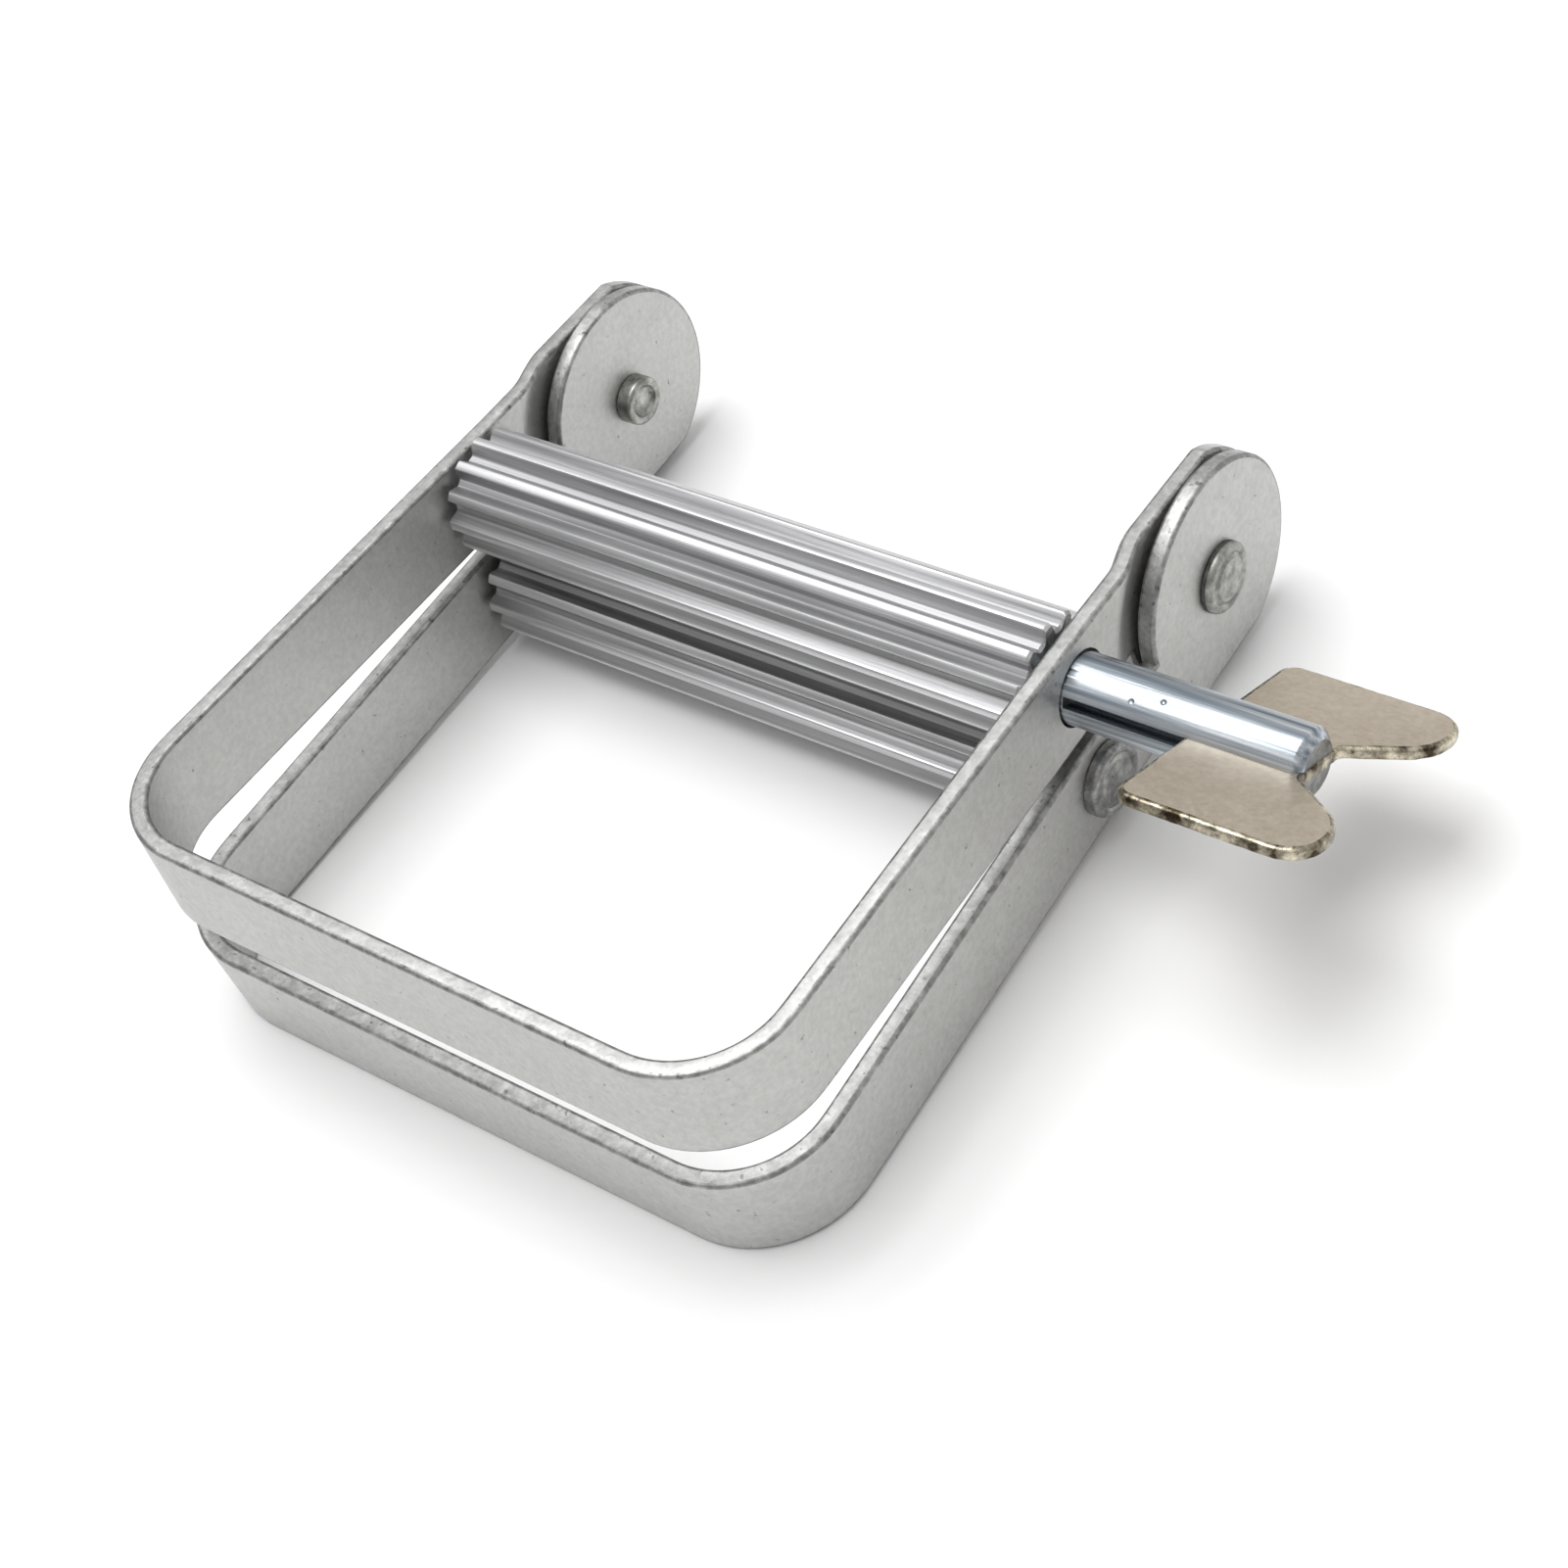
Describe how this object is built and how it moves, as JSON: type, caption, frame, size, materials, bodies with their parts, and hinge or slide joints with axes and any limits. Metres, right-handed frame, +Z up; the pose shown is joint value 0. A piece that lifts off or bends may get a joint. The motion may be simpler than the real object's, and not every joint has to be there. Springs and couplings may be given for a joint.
{
  "type": "tube squeezer",
  "caption": "Hand tube squeezer: riveted U-shaped strip frames with meshing fluted rollers between their arms, turned by a winged key on a slotted shaft.",
  "frame": {"origin": "middle of the lower edge of the lower frame's front wall, in the middle of the strip's thickness", "axes": "+X along the rollers towards the key, +Y from the closed front to the hinge, +Z up through the upper frame"},
  "size_m": [0.0932, 0.0767, 0.0243],
  "materials": {
    "frame_aluminium": "tumbled satin aluminium strip, brighter on its cut edges",
    "roller_aluminium": "extruded aluminium with drawing lines along the ridges",
    "rivet_metal": "pressed aluminium, slightly scuffed",
    "axle_metal": "plain steel, drawn",
    "shaft_zinc": "bright zinc plate, bluish",
    "key_plate": "satin nickel plate with a warm tint, rounded sheared edges"
  },
  "bodies": {
    "lower": {"lower_frame": "frame_aluminium", "left_hinge_rivet": "rivet_metal", "right_hinge_rivet": "rivet_metal", "idler_axle": "axle_metal"},
    "upper": {"upper_frame": "frame_aluminium"},
    "drive": {"drive_roller": "roller_aluminium", "key_shaft": "shaft_zinc", "wing_key": "key_plate"},
    "idler": {"idler_roller": "roller_aluminium"}
  },
  "joints": [
    {"name": "frame_hinge", "type": "hinge", "parent": "lower", "child": "upper", "pos_m": [0, 0.0657, 0.0094], "axis": [-1, 0, 0], "range_deg": [0, 170]},
    {"name": "key_spin", "type": "hinge", "parent": "upper", "child": "drive", "pos_m": [0, 0.04748, 0.01539], "axis": [1, 0, 0], "continuous": true},
    {"name": "idler_spin", "type": "hinge", "parent": "lower", "child": "idler", "pos_m": [0, 0.0471, 0.0047], "axis": [1, 0, 0], "continuous": true}
  ],
  "couplings": [
    {"joint": "idler_spin", "follows": "key_spin", "ratio": -1}
  ]
}
